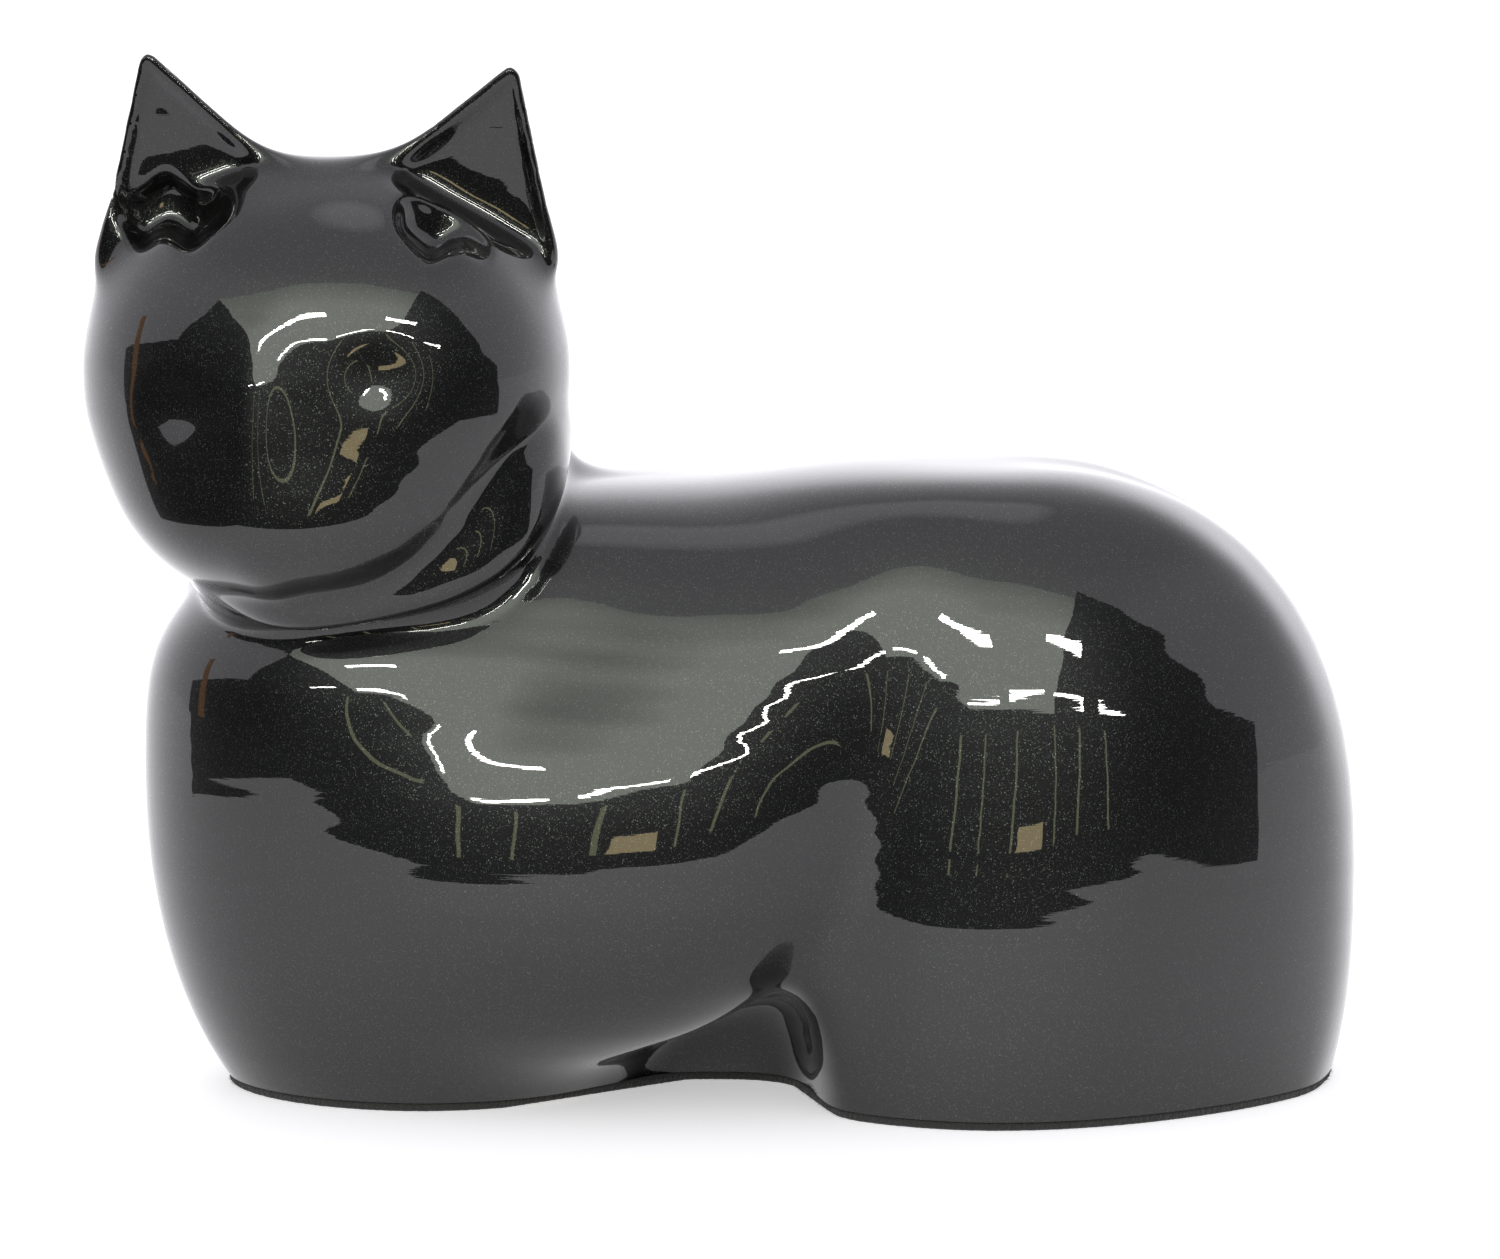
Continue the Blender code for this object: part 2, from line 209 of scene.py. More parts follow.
def cat(points):
    """The whole clay form, without its flat base. A thick collar fills the neck, fading at the nape."""
    neck = mass(points, (-76.5, 2, 138), (42, 40, 40), 3.0, 3.0)
    crease = points.copy()
    crease[:, 2] -= CREASE_RISE[0] * (points[:, 0] + 84) + CREASE_RISE[1] * (points[:, 1] + 5)
    crease[:, 2] -= CREASE_BEND * (points[:, 0] + 75) ** 2
    collar = mass(crease, (-74.5, -4, 139), (42, 42, 17.5), 4.5, 4.0, lean=(-0.05, 0.12))
    collar = meet(collar, mass(crease, (-70, 0, 139), (48, 52, 80)), 8)
    collar = meet(collar, points[:, 2] - 152, 8)
    nape = 0.5 + 0.5 * np.tanh((points[:, 1] - 16) / 8)
    body = join(join(hindquarters(points), forequarters(points), 14), join(neck, collar, 6), 5 + 22 * nape)
    return join(body, head(points), 6 + 20 * nape)


def glazed(points):
    """The clay with the glaze's ripple on it, carried on below the table so that the base can be cut flat."""
    return np.maximum(cat(points) + ripple(points), -DEPTH_BELOW_TABLE - points[:, 2])


# ---- A mesh over the field's surface ----

def sample(field, low, step, counts):
    """The field's values on a box of points, worked out only near the surface."""
    coarse_counts = [math.ceil(n / COARSE) + 1 for n in counts]
    index = np.stack(np.meshgrid(*(np.arange(n) for n in coarse_counts), indexing="ij"), -1).reshape(-1, 3)
    values = field(low + index * step * COARSE).reshape(coarse_counts)
    for axis in range(3):
        values = values.repeat(COARSE, axis)
    values = values[tuple(slice(0, n) for n in counts)].copy()
    near = np.argwhere(np.abs(values) < 2.2 * COARSE * step)
    values[tuple(near.T)] = field(low + near * step)
    return values


def net_points(values):
    """One point per cell that the surface crosses: the mean of its crossings on the cell's edges."""
    cells = [n - 1 for n in values.shape]
    total = np.zeros((*cells, 3))
    crossings = np.zeros(cells)
    for axis in range(3):
        for corner in np.ndindex(2, 2, 2):
            if corner[axis]:
                continue
            start = values[tuple(slice(c, c + n) for c, n in zip(corner, cells))]
            end_corner = [c + (i == axis) for i, c in enumerate(corner)]
            end = values[tuple(slice(c, c + n) for c, n in zip(end_corner, cells))]
            crossed = (start < 0) != (end < 0)
            along = np.where(crossed, start / np.where(crossed, start - end, 1), 0)
            place = np.array(corner) + along[..., None] * np.eye(3)[axis]
            total += place * crossed[..., None]
            crossings += crossed
    active = crossings > 0
    numbers = np.full(cells, -1)
    numbers[active] = np.arange(active.sum())
    return np.argwhere(active) + total[active] / crossings[active][:, None], numbers


def net_faces(values, numbers):
    """A quad round each grid edge that the surface crosses, facing out."""
    faces = []
    inside = values < 0
    for axis in range(3):
        first, second = [slice(1, -1)] * 3, [slice(1, -1)] * 3
        first[axis], second[axis] = slice(0, -1), slice(1, None)
        here, there = inside[tuple(first)], inside[tuple(second)]
        base = np.array([int(i != axis) for i in range(3)])
        for edges, flip in ((here & ~there, 1), (there & ~here, -1)):
            cell = np.argwhere(edges) + base
            corners = []
            for step_b, step_c in ((0, 0), (1, 0), (1, 1), (0, 1)):
                shifted = cell.copy()
                shifted[:, (axis + 1) % 3] -= step_b
                shifted[:, (axis + 2) % 3] -= step_c
                corners.append(numbers[tuple(shifted.T)])
            faces.append(np.stack(corners, 1)[:, ::flip])
    return np.concatenate(faces)


def slope_of(field, points, reach=0.05):
    """The field's gradient at each point."""
    return np.stack([(field(points + d) - field(points - d)) / (2 * reach) for d in np.eye(3) * reach], 1)


def settle(field, points, rounds):
    """Move points down the field's slope until they lie on its surface."""
    for _ in range(rounds):
        slope = slope_of(field, points)
        step = slope * (field(points) / np.maximum((slope ** 2).sum(1), 0.05))[:, None]
        points = points - step * np.minimum(1, 1.0 / np.maximum(np.linalg.norm(step, axis=1), 1e-9))[:, None]
    return points


def vertex_places(mesh):
    """A mesh's vertices as an array of points."""
    flat = np.empty(len(mesh.vertices) * 3)
    mesh.vertices.foreach_get("co", flat)
    return flat.reshape(-1, 3)


def fine_net(field, low, high, step):
    """A mesh over the field's surface in millimetres: a net, split once and settled again."""
    counts = np.ceil((high - low) / step).astype(int) + 1
    values = sample(field, low, step, counts)
    cells, numbers = net_points(values)
    points = settle(field, low + cells * step, 3)
    mesh = bpy.data.meshes.new("net")
    mesh.from_pydata(points.tolist(), [], net_faces(values, numbers).tolist())
    shape = bmesh.new()
    shape.from_mesh(mesh)
    bmesh.ops.subdivide_edges(shape, edges=shape.edges, cuts=1, use_grid_fill=True)
    shape.to_mesh(mesh)
    shape.free()
    points = settle(field, vertex_places(mesh), 2)
    mesh.vertices.foreach_set("co", points.ravel())
    mesh.update()
    return mesh


# ---- Pieces ----

# The material slot of each glazed casting that its unglazed faces use. The glaze is slot 0.
BARE = 1


def to_frame(points):
    """From the form's millimetres to the frame's metres."""
    return (points - np.array((*MIDDLE, 0.0))) * MM


def add_piece(name, mesh, node, smooth=True):
    """Link a piece that stands for a CAD node, riding on the one body."""
    thing = bpy.data.objects.new(name, mesh)
    bpy.context.scene.collection.objects.link(thing)
    if smooth:
        mesh.shade_smooth()
    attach(thing, "root")
    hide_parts(node)
    return thing


def cut_edges(made):
    """The edges that a bisect has made."""
    return [item for item in made["geom_cut"] if isinstance(item, bmesh.types.BMEdge)]


def bisect(shape, point, normal, keep_above):
    """Cut a closed shape by a plane, keep one side and return the open rim's edges."""
    geometry = shape.verts[:] + shape.edges[:] + shape.faces[:]
    return cut_edges(bmesh.ops.bisect_plane(
        shape, geom=geometry, plane_co=point, plane_no=normal,
        clear_inner=keep_above, clear_outer=not keep_above,
    ))


def field_normals(thing):
    """Give the curved faces the field's own normals, and leave the flat cuts flat."""
    mesh = thing.data
    points = vertex_places(mesh) / MM + np.array((*MIDDLE, 0.0))
    slopes = slope_of(glazed, points)
    slopes /= np.linalg.norm(slopes, axis=1)[:, None]
    loops = np.empty(len(mesh.loops), int)
    mesh.loops.foreach_get("vertex_index", loops)
    normals = slopes[loops]
    for face in mesh.polygons:
        if face.material_index == BARE:
            normals[face.loop_start:face.loop_start + face.loop_total] = face.normal
    mesh.normals_split_custom_set(normals.tolist())


def fill_underside(shape, rim):
    """Close the base with bare clay round a pour hole, which has a wall and an end of its own."""
    circle = bmesh.ops.create_circle(shape, segments=64, radius=POUR_HOLE_RADIUS)["verts"]
    x, y = POUR_HOLE_CENTRE
    bmesh.ops.translate(shape, verts=circle, vec=(x, y, BODY_BOTTOM))
    ring = list(dict.fromkeys(edge for vert in circle for edge in vert.link_edges))
    filled = bmesh.ops.triangle_fill(shape, edges=rim + ring, use_beauty=True, normal=(0, 0, -1))
    bare = [face for face in filled["geom"] if isinstance(face, bmesh.types.BMFace)]
    top = [shape.verts.new(vert.co + Vector((0, 0, POUR_HOLE_DEPTH))) for vert in circle]
    for number, vert in enumerate(circle):
        bare.append(shape.faces.new((circle[number - 1], vert, top[number], top[number - 1])))
    bare.append(shape.faces.new(top))
    for face in bare:
        face.material_index = BARE


def glazed_shell(name, net, node, is_head):
    """One glazed casting, its net cut at the neck seam."""
    shape = bmesh.new()
    shape.from_mesh(fine_net(glazed, *net))
    normal = Vector((-SEAM_RISE[0], -SEAM_RISE[1], 1)).normalized()
    rim = bisect(shape, SEAM_POINT, normal, is_head)
    joint = bmesh.ops.triangle_fill(shape, edges=rim, use_beauty=True)
    for face in joint["geom"]:
        if isinstance(face, bmesh.types.BMFace):
            face.material_index = BARE
    if not is_head:
        base_rim = bisect(shape, (0, 0, BODY_BOTTOM), (0, 0, 1), True)
        fill_underside(shape, base_rim)
    bmesh.ops.recalc_face_normals(shape, faces=shape.faces)
    mesh = bpy.data.meshes.new(name)
    shape.to_mesh(mesh)
    shape.free()
    mesh.vertices.foreach_set("co", to_frame(vertex_places(mesh)).ravel())
    mesh.update()
    piece = add_piece(name, mesh, node)
    mesh.materials.append(MATERIALS["glaze"])
    mesh.materials.append(MATERIALS["bare_clay"])
    field_normals(piece)


# ---- Materials ----

def new_material(name):
    """A material with its node tree's Principled shader."""
    material = bpy.data.materials.new(name)
    material.use_nodes = True
    return material, material.node_tree, material.node_tree.nodes["Principled BSDF"]


def node(tree, kind, **settings):
    """A node with its properties set."""
    made = tree.nodes.new(kind)
    for key, value in settings.items():
        setattr(made, key, value)
    return made


def math_node(tree, operation, a, b):
    """A Math node whose inputs are sockets or numbers."""
    made = node(tree, "ShaderNodeMath", operation=operation)
    for socket, value in zip(made.inputs, (a, b)):
        if isinstance(value, (int, float)):
            socket.default_value = value
        else:
            tree.links.new(value, socket)
    return made.outputs[0]


def spread(tree, value, low, high, to_low, to_high):
    """Map a range of values onto another, clamped."""
    made = node(tree, "ShaderNodeMapRange")
    tree.links.new(value, made.inputs["Value"])
    for name, number in (("From Min", low), ("From Max", high), ("To Min", to_low), ("To Max", to_high)):
        made.inputs[name].default_value = number
    return made.outputs["Result"]


def mix_colour(tree, factor, a, b):
    """A colour mix between two fixed colours or sockets."""
    made = node(tree, "ShaderNodeMix", data_type="RGBA")
    tree.links.new(factor, made.inputs[0])
    for socket, value in ((made.inputs[6], a), (made.inputs[7], b)):
        if isinstance(value, tuple):
            socket.default_value = (*value, 1.0)
        else:
            tree.links.new(value, socket)
    return made.outputs[2]


def noise(tree, vector, scale, detail, roughness=0.5):
    """A noise texture's value."""
    made = node(tree, "ShaderNodeTexNoise")
    made.inputs["Scale"].default_value = scale
    made.inputs["Detail"].default_value = detail
    made.inputs["Roughness"].default_value = roughness
    tree.links.new(vector, made.inputs["Vector"])
    return made.outputs["Fac"]


def stretched(tree, scale):
    """Object coordinates stretched by a scale for each axis."""
    coordinates = node(tree, "ShaderNodeTexCoord")
    mapping = node(tree, "ShaderNodeMapping")
    mapping.inputs["Scale"].default_value = scale
    tree.links.new(coordinates.outputs["Object"], mapping.inputs["Vector"])
    return mapping.outputs["Vector"]


def bump(tree, height, distance, normal=None):
    """A bump node over an optional earlier normal."""
    made = node(tree, "ShaderNodeBump")
    made.inputs["Strength"].default_value = 1.0
    made.inputs["Distance"].default_value = distance
    tree.links.new(height, made.inputs["Height"])
    if normal:
        tree.links.new(normal, made.inputs["Normal"])
    return made.outputs["Normal"]


# How many flakes a metre takes, how few of them show, how far they lean, and the glaze round them.
FLAKES_PER_METRE = 5600
FLAKE_RARITY = 24.0
FLAKE_LEAN = 0.32
GLAZE_COLOUR = (0.0112, 0.0112, 0.0120)
FLAKE_COLOUR = (0.07, 0.078, 0.072)


def make_glaze():
    """Near-black glaze: pearl flakes in dark glass, level brush streaks, and a wet clear surface."""
    material, tree, shader = new_material("black_pearl_glaze")
    streaks = noise(tree, stretched(tree, (9, 9, 300)), 1.0, 4.0, 0.6)
    waves = noise(tree, stretched(tree, (18, 18, 50)), 1.0, 2.0)
    surface = bump(tree, waves, 0.0003)
    surface = bump(tree, streaks, 0.000012, normal=surface)

    flakes = node(tree, "ShaderNodeTexVoronoi", feature="F1")
    flakes.inputs["Scale"].default_value = FLAKES_PER_METRE
    tree.links.new(stretched(tree, (1, 1, 1)), flakes.inputs["Vector"])
    pick = node(tree, "ShaderNodeSeparateColor")
    tree.links.new(flakes.outputs["Color"], pick.inputs["Color"])
    shown = math_node(tree, "POWER", pick.outputs[2], FLAKE_RARITY)
    cloud = spread(tree, streaks, 0.35, 0.7, 0.8, 1.2)
    amount = math_node(tree, "MULTIPLY", shown, cloud)
    tint = mix_colour(tree, amount, GLAZE_COLOUR, FLAKE_COLOUR)
    tree.links.new(tint, shader.inputs["Base Color"])

    tilt = node(tree, "ShaderNodeVectorMath", operation="SUBTRACT")
    tree.links.new(flakes.outputs["Color"], tilt.inputs[0])
    tilt.inputs[1].default_value = (0.5, 0.5, 0.5)
    scaled = node(tree, "ShaderNodeVectorMath", operation="SCALE")
    tree.links.new(math_node(tree, "MULTIPLY", shown, FLAKE_LEAN), scaled.inputs["Scale"])
    tree.links.new(tilt.outputs[0], scaled.inputs[0])
    total = node(tree, "ShaderNodeVectorMath", operation="ADD")
    tree.links.new(scaled.outputs[0], total.inputs[0])
    tree.links.new(surface, total.inputs[1])
    unit = node(tree, "ShaderNodeVectorMath", operation="NORMALIZE")
    tree.links.new(total.outputs[0], unit.inputs[0])
    tree.links.new(unit.outputs[0], shader.inputs["Normal"])

    shader.inputs["Metallic"].default_value = 1.0
    shader.inputs["Roughness"].default_value = 0.43
    shader.inputs["Coat Weight"].default_value = 1.0
    shader.inputs["Coat Roughness"].default_value = 0.015
    shader.inputs["Coat IOR"].default_value = 1.52
    tree.links.new(surface, shader.inputs["Coat Normal"])
    return material


def make_bare_clay():
    """Dry fired clay, buff and slightly gritty."""
    material, tree, shader = new_material("bare_clay")
    grit = noise(tree, stretched(tree, (1, 1, 1)), 900, 5.0, 0.6)
    cloud = noise(tree, stretched(tree, (1, 1, 1)), 60, 3.0)
    tint = mix_colour(tree, cloud, (0.36, 0.29, 0.23), (0.50, 0.43, 0.35))
    tree.links.new(tint, shader.inputs["Base Color"])
    tree.links.new(spread(tree, grit, 0.3, 0.7, 0.8, 0.95), shader.inputs["Roughness"])
    tree.links.new(bump(tree, grit, 0.0001), shader.inputs["Normal"])
    return material


def make_felt():
    """Black pressed felt."""
    material, tree, shader = new_material("black_felt")
    fibres = noise(tree, stretched(tree, (1, 1, 2)), 1400, 6.0, 0.7)
    tint = mix_colour(tree, fibres, (0.004, 0.004, 0.004), (0.022, 0.021, 0.020))
    tree.links.new(tint, shader.inputs["Base Color"])
    tree.links.new(bump(tree, fibres, 0.0004), shader.inputs["Normal"])
    shader.inputs["Roughness"].default_value = 1.0
    shader.inputs["Sheen Weight"].default_value = 0.15
    shader.inputs["Sheen Roughness"].default_value = 0.5
    return material


MATERIALS = {"glaze": make_glaze(), "bare_clay": make_bare_clay(), "felt": make_felt()}


# ---- Felt ----

def uneven(numbers, seed):
    """Repeatable scatter from 0 to 1 for an array of whole numbers."""
    wave = np.sin(numbers * 12.9898 + seed * 78.233) * 43758.5453
    return wave - np.floor(wave)


def felt_outline(count):
    """Points round the foot of the clay at the felt's top, evenly spaced, with the way out at each."""
    centre = np.array((10.0, 17.0, FELT_THICKNESS))
    angles = np.linspace(0, 2 * math.pi, 3600, endpoint=False)
    ways = np.stack([np.cos(angles), np.sin(angles), np.zeros_like(angles)], 1)
    near, far = np.zeros(len(angles)), np.full(len(angles), 170.0)
    for _ in range(26):
        middle = (near + far) / 2
        inside = cat(centre + ways * middle[:, None]) < 0
        near, far = np.where(inside, middle, near), np.where(inside, far, middle)
    ring = centre + ways * near[:, None]
    lengths = np.linalg.norm(np.roll(ring, -1, 0) - ring, axis=1)
    along = np.concatenate([[0], np.cumsum(lengths)])
    places = np.linspace(0, along[-1], count, endpoint=False)
    closed = np.vstack([ring, ring[:1]])
    points = np.stack([np.interp(places, along, closed[:, axis]) for axis in range(3)], 1)
    out = slope_of(cat, points)
    out[:, 2] = 0
    return points, out / np.linalg.norm(out, axis=1)[:, None]


FELT_EDGE_POINTS = 1500
FIBRES = 1400
# Height of each layer of the felt's edge, and how far it stands out from the foot of the clay.
FELT_LAYERS = ((0.0, -0.9), (0.35, -0.5), (1.2, -0.45), (FELT_THICKNESS, -0.8))


def make_felt_piece():
    """The felt under the footprint: a slab with a soft uneven edge and loose fibres."""
    points, out = felt_outline(FELT_EDGE_POINTS)
    number = np.arange(FELT_EDGE_POINTS)
    swell = 0.5 + 0.5 * np.sin(number / 37.0) * np.sin(number / 91.0 + 1)
    layers = []
    for height, proud in FELT_LAYERS:
        reach = proud + 0.3 * swell + 0.28 * uneven(number, height + 1)
        layer = points + out * reach[:, None]
        layer[:, 2] = height
        layers.append(layer)
    verts = np.concatenate(layers)
    faces = []
    for low in range(len(layers) - 1):
        start = low * FELT_EDGE_POINTS + number
        after = low * FELT_EDGE_POINTS + (number + 1) % FELT_EDGE_POINTS
        faces += np.stack([start, after, after + FELT_EDGE_POINTS, start + FELT_EDGE_POINTS], 1).tolist()
    faces.append(number[::-1].tolist())
    faces.append((number + (len(layers) - 1) * FELT_EDGE_POINTS).tolist())

    pick = (uneven(np.arange(FIBRES), 3) * FELT_EDGE_POINTS).astype(int)
    root = points[pick] - out[pick] * 0.2
    root[:, 2] = 0.15 + 1.3 * uneven(np.arange(FIBRES), 5)
    side = np.stack([-out[pick][:, 1], out[pick][:, 0], np.zeros(FIBRES)], 1)
    sweep = (uneven(np.arange(FIBRES), 7) - 0.5)[:, None] * 2
    length = (0.3 + 0.9 * uneven(np.arange(FIBRES), 9) ** 3)[:, None]
    rise = (uneven(np.arange(FIBRES), 11) - 0.5)[:, None] * np.array((0, 0, 0.5))
    middle = root + (out[pick] + side * sweep * 0.6 + rise) * length * 0.6
    end = middle + (out[pick] * 0.4 + side * sweep + rise) * length * 0.5
    width = np.array((0, 0, 0.05))
    strands = np.stack([root, root + width, middle + width, middle, end], 1)
    strands[:, :, 2] = np.maximum(strands[:, :, 2], 0.02)
    base = len(verts) + 5 * np.arange(FIBRES)[:, None]
    faces += (base + np.array((0, 1, 2, 3))).tolist()
    faces += (base + np.array((3, 2, 4))).tolist()
    verts = np.concatenate([verts, strands.reshape(-1, 3)])

    mesh = bpy.data.meshes.new("felt_pad_soft")
    mesh.from_pydata(to_frame(verts).tolist(), [], faces)
    add_piece("felt_pad_soft", mesh, "felt_pad", smooth=False)
    mesh.materials.append(MATERIALS["felt"])


# ---- Build ----

glazed_shell("glazed_body", BODY_NET, "body_shell", False)
glazed_shell("glazed_head", HEAD_NET, "head_shell", True)
make_felt_piece()
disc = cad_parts["closing_disc"]
disc.data.materials.clear()
disc.data.materials.append(MATERIALS["bare_clay"])


# ---- Studio ----

def emitter(name, colour, strength):
    """A plain glowing material."""
    material = bpy.data.materials.new(name)
    material.use_nodes = True
    tree = material.node_tree
    tree.nodes.clear()
    glow = node(tree, "ShaderNodeEmission")
    glow.inputs["Color"].default_value = (*colour, 1.0)
    glow.inputs["Strength"].default_value = strength
    out = node(tree, "ShaderNodeOutputMaterial")
    tree.links.new(glow.outputs[0], out.inputs["Surface"])
    return material


def card(name, corners, colour, strength):
    """A flat studio card seen only in reflections."""
    mesh = bpy.data.meshes.new(name)
    mesh.from_pydata(corners, [], [tuple(range(len(corners)))])
    mesh.materials.append(emitter(name, colour, strength))
    thing = bpy.data.objects.new(name, mesh)
    bpy.context.scene.collection.objects.link(thing)
    thing.visible_camera = False
    thing.visible_diffuse = False
    thing.visible_shadow = False
    return thing


FLOOR_HALF_WIDTH = 6.0


def make_floor():
    """A wide plain white floor."""
    mesh = bpy.data.meshes.new("floor")
    size = FLOOR_HALF_WIDTH
    corners = [(-size, -size, 0), (size, -size, 0), (size, size, 0), (-size, size, 0)]
    mesh.from_pydata(corners, [], [(0, 1, 2, 3)])
    material, _, shader = new_material("white_floor")
    shader.inputs["Base Color"].default_value = (0.84, 0.84, 0.84, 1.0)
    shader.inputs["Roughness"].default_value = 0.7
    shader.inputs["Emission Color"].default_value = (1.0, 1.0, 1.0, 1.0)
    shader.inputs["Emission Strength"].default_value = 0.42
    mesh.materials.append(material)
    floor = bpy.data.objects.new("floor", mesh)
    bpy.context.scene.collection.objects.link(floor)


def make_world():
    """White light from all round, brightest overhead and from the backdrop."""
    world = bpy.data.worlds.new("white_tent")
    bpy.context.scene.world = world
    world.use_nodes = True
    tree = world.node_tree
    sky = tree.nodes["Background"]
    sky.inputs["Color"].default_value = (1.0, 0.99, 1.035, 1.0)
    way = node(tree, "ShaderNodeSeparateXYZ")
    tree.links.new(node(tree, "ShaderNodeTexCoord").outputs["Generated"], way.inputs[0])
    top = spread(tree, way.outputs[2], 0.972, 0.992, 0.0, 0.7)
    behind = spread(tree, way.outputs[1], 0.3, 0.85, 0.0, 0.3)
    level = spread(tree, way.outputs[2], 0.55, 0.75, 1.2, 0.95)
    total = math_node(tree, "ADD", math_node(tree, "ADD", top, behind), level)
    tree.links.new(total, sky.inputs["Strength"])


# The room in front of the set, in metres. The lit part of its ceiling runs from PALE_LEFT to PALE_RIGHT.
ROOM_BACK = -2.8
ROOM_LEFT = -3.4
ROOM_RIGHT = 4.2
ROOM_BOTTOM = -1.2
CEILING = 1.0
CEILING_NEAR = -0.88
PALE_LEFT = -1.3
PALE_RIGHT = 0.56
# The table's near edge and sides. The dark floor beyond them lies just above the white one.
TABLE_EDGE = -0.42
TABLE_RIGHT = 0.5
TABLE_LEFT = -0.5
DARK_FLOOR = 0.0008
# Colour and strength of each kind of card.
DARK = (0.6, 0.65, 0.58)
BACK_GLOW = 0.05
SIDE_GLOW = 0.04
PALE = (0.93, 1.0, 0.87)
PALE_GLOW = (3.1, 1.7)
WOOD = ((1.0, 0.45, 0.12), 0.8)
CABLE = ((0.8, 0.85, 0.5), 2.2)
STRIP = ((1.0, 1.0, 0.93), 90.0)
WINDOW = ((1.0, 0.82, 0.45), 4.0)
# Foot, lean and width of each cable, and the near left corner and length of each strip light.
CABLE_WALL = -2.6
CABLES = ((-1.5, 0.1, 0.05), (-0.8, -0.08, 0.035), (-0.25, 0.03, 0.04),
          (0.55, -0.05, 0.03), (0.9, 0.12, 0.045), (1.7, -0.1, 0.04))
STRIP_HEIGHT = CEILING - 0.05
STRIP_WIDTH = 0.08
STRIPS = ((-2.0, -2.3, 0.55), (-1.15, -2.45, 0.6), (-0.35, -2.4, 0.65), (0.5, -2.45, 0.6),
          (1.4, -2.4, 0.6), (-0.9, -1.5, 0.5), (0.3, -1.45, 0.45))


def at_height(height, outline):
    """A flat outline's corners at one height."""
    return [(x, y, height) for x, y in outline]


def make_walls():
    """The dark back and sides of the room."""
    card("room_back", [(ROOM_LEFT, ROOM_BACK, ROOM_BOTTOM), (ROOM_RIGHT, ROOM_BACK, ROOM_BOTTOM),
                       (ROOM_RIGHT, ROOM_BACK, CEILING), (ROOM_LEFT, ROOM_BACK, CEILING)],
         DARK, BACK_GLOW)
    card("room_left", [(ROOM_LEFT, ROOM_BACK, ROOM_BOTTOM), (ROOM_LEFT, 0.4, ROOM_BOTTOM),
                       (ROOM_LEFT, 0.4, 0.5), (ROOM_LEFT, -1.5, CEILING), (ROOM_LEFT, ROOM_BACK, CEILING)],
         DARK, SIDE_GLOW)
    card("room_right", [(ROOM_RIGHT, ROOM_BACK, ROOM_BOTTOM), (ROOM_RIGHT, -0.9, ROOM_BOTTOM),
                        (ROOM_RIGHT, -0.9, 0.5), (ROOM_RIGHT, -1.7, CEILING),
                        (ROOM_RIGHT, ROOM_BACK, CEILING)],
         DARK, SIDE_GLOW)


def make_ceiling():
    """The lit middle of the ceiling, fading towards the set, and its dark sides."""
    outline = ((PALE_LEFT, ROOM_BACK), (PALE_RIGHT, ROOM_BACK), (PALE_RIGHT, CEILING_NEAR),
               (PALE_LEFT, CEILING_NEAR))
    ceiling = card("room_ceiling", at_height(CEILING, outline), PALE, PALE_GLOW[0])
    tree = ceiling.data.materials[0].node_tree
    way = node(tree, "ShaderNodeSeparateXYZ")
    tree.links.new(node(tree, "ShaderNodeTexCoord").outputs["Generated"], way.inputs[0])
    faded = spread(tree, way.outputs[1], 0.8, 1.0, *PALE_GLOW)
    tree.links.new(faded, tree.nodes["Emission"].inputs["Strength"])
    outline = ((PALE_LEFT, ROOM_BACK), (ROOM_LEFT, ROOM_BACK), (ROOM_LEFT, -1.5), (PALE_LEFT, -0.9))
    card("ceiling_left", at_height(CEILING, outline), DARK, BACK_GLOW)
    outline = ((PALE_RIGHT, ROOM_BACK), (ROOM_RIGHT, ROOM_BACK), (ROOM_RIGHT, -1.7), (0.85, -0.82),
               (PALE_RIGHT, -0.8))
    card("ceiling_right", at_height(CEILING, outline), DARK, BACK_GLOW)


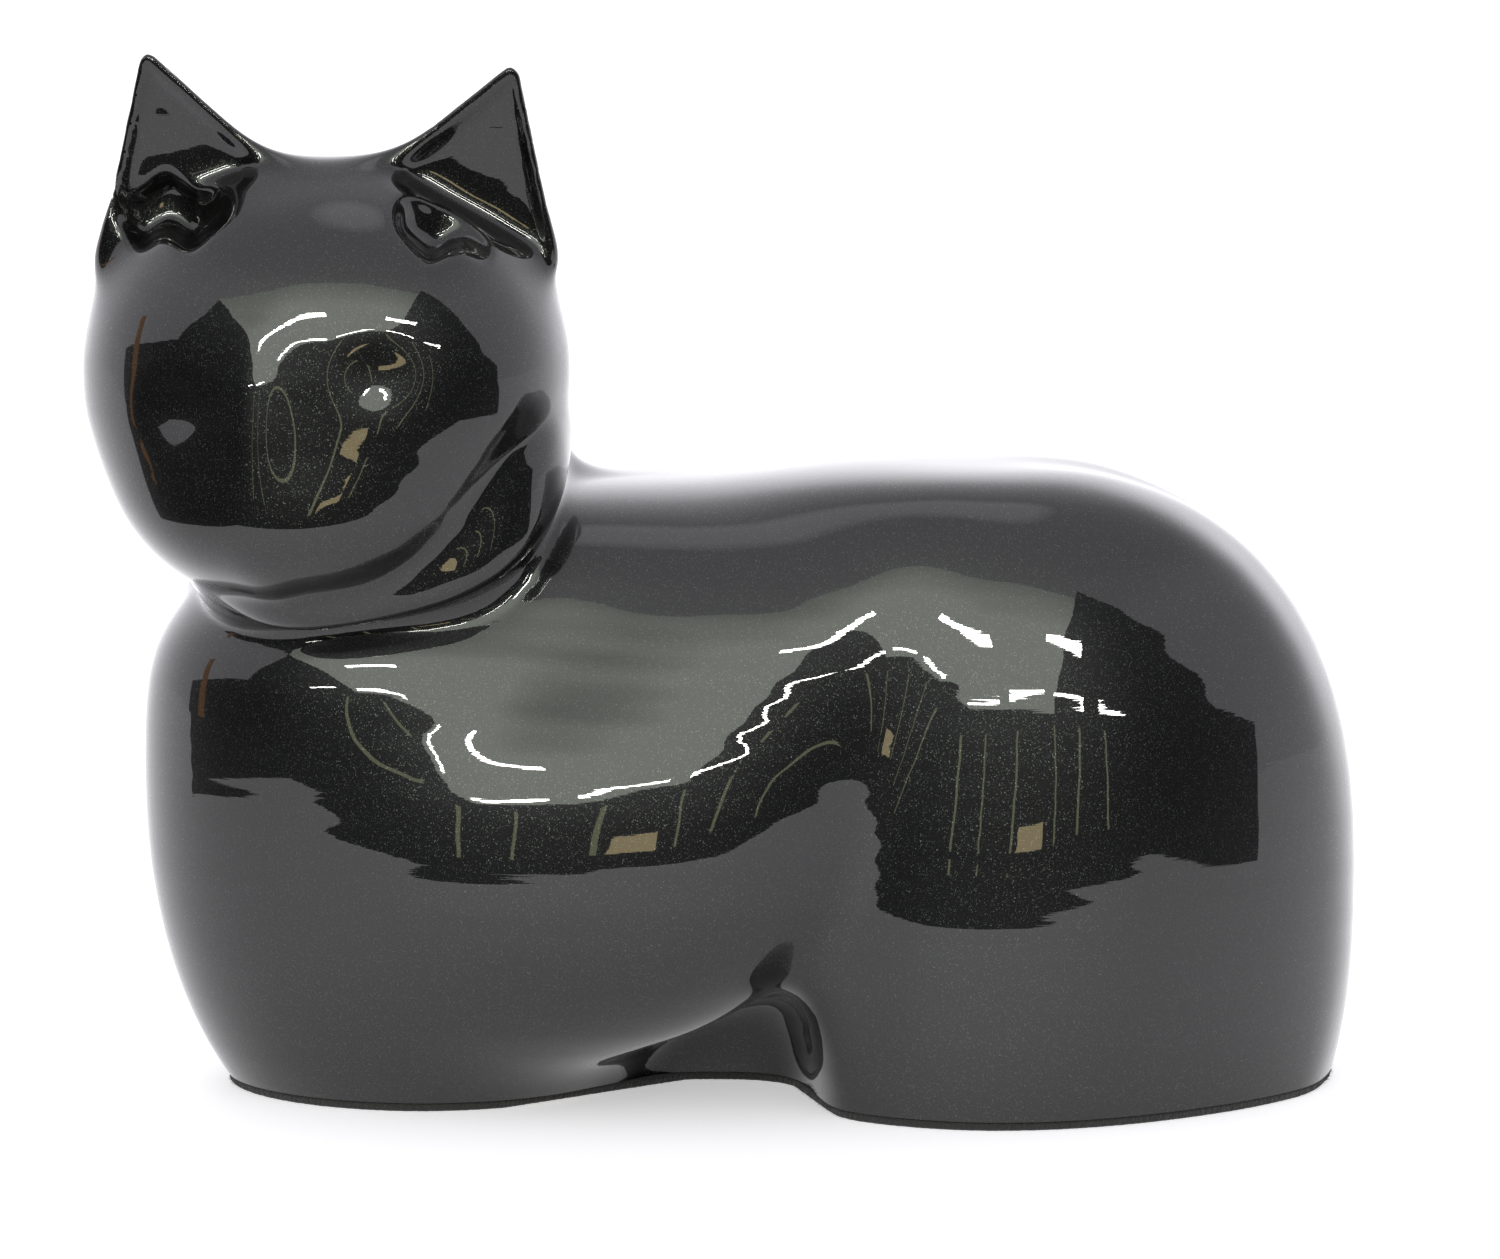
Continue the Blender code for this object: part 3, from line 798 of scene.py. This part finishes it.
def make_room():
    """The darker room in front of the set, with a lit ceiling, strip lights and a far window."""
    make_walls()
    make_ceiling()
    outline = ((-4, -6), (4.2, -6), (4.2, -0.9), (TABLE_RIGHT, -0.115), (TABLE_RIGHT, TABLE_EDGE),
               (TABLE_LEFT, TABLE_EDGE), (TABLE_LEFT, 0), (-4, 0.4))
    card("room_floor", at_height(DARK_FLOOR, outline), DARK, SIDE_GLOW)
    card("wood", [(-2.5, -0.2, -0.5), (-2.5, 0.0, -0.45), (-2.5, 0.02, 0.9), (-2.5, -0.1, 0.95)], *WOOD)
    for number, (x, lean, width) in enumerate(CABLES):
        card(f"cable_{number}", [(x, CABLE_WALL, -0.6), (x + width, CABLE_WALL, -0.6),
                                 (x + width + lean, CABLE_WALL, 0.8), (x + lean, CABLE_WALL, 0.8)], *CABLE)
    for number, (x, y, length) in enumerate(STRIPS):
        outline = ((x, y), (x + length, y), (x + length, y + STRIP_WIDTH), (x, y + STRIP_WIDTH))
        card(f"strip_{number}", at_height(STRIP_HEIGHT, outline), *STRIP)
    wall = ROOM_BACK + 0.02
    corners = [(-0.15, wall, -0.02), (0.35, wall, -0.05), (0.35, wall, 0.2), (-0.1, wall, 0.15)]
    card("far_window", corners, *WINDOW)


# The camera: a long lens, a little above level, square on to the figure's flank.
CAMERA_TARGET = Vector((0.0041, -0.0094, 0.1025))
CAMERA_DISTANCE = 1.1
CAMERA_ELEVATION = math.radians(8.0)
CAMERA_LENS = 120.0


def make_camera():
    """The camera at the figure's front."""
    data = bpy.data.cameras.new("camera")
    data.lens = CAMERA_LENS
    data.sensor_width = 36.0
    camera = bpy.data.objects.new("camera", data)
    bpy.context.scene.collection.objects.link(camera)
    back = Vector((0, -math.cos(CAMERA_ELEVATION), math.sin(CAMERA_ELEVATION)))
    camera.location = CAMERA_TARGET + back * CAMERA_DISTANCE
    camera.rotation_euler = (-back).to_track_quat("-Z", "Y").to_euler()
    bpy.context.scene.camera = camera


make_floor()
make_world()
make_room()
make_camera()
bpy.context.scene.view_settings.view_transform = "Standard"
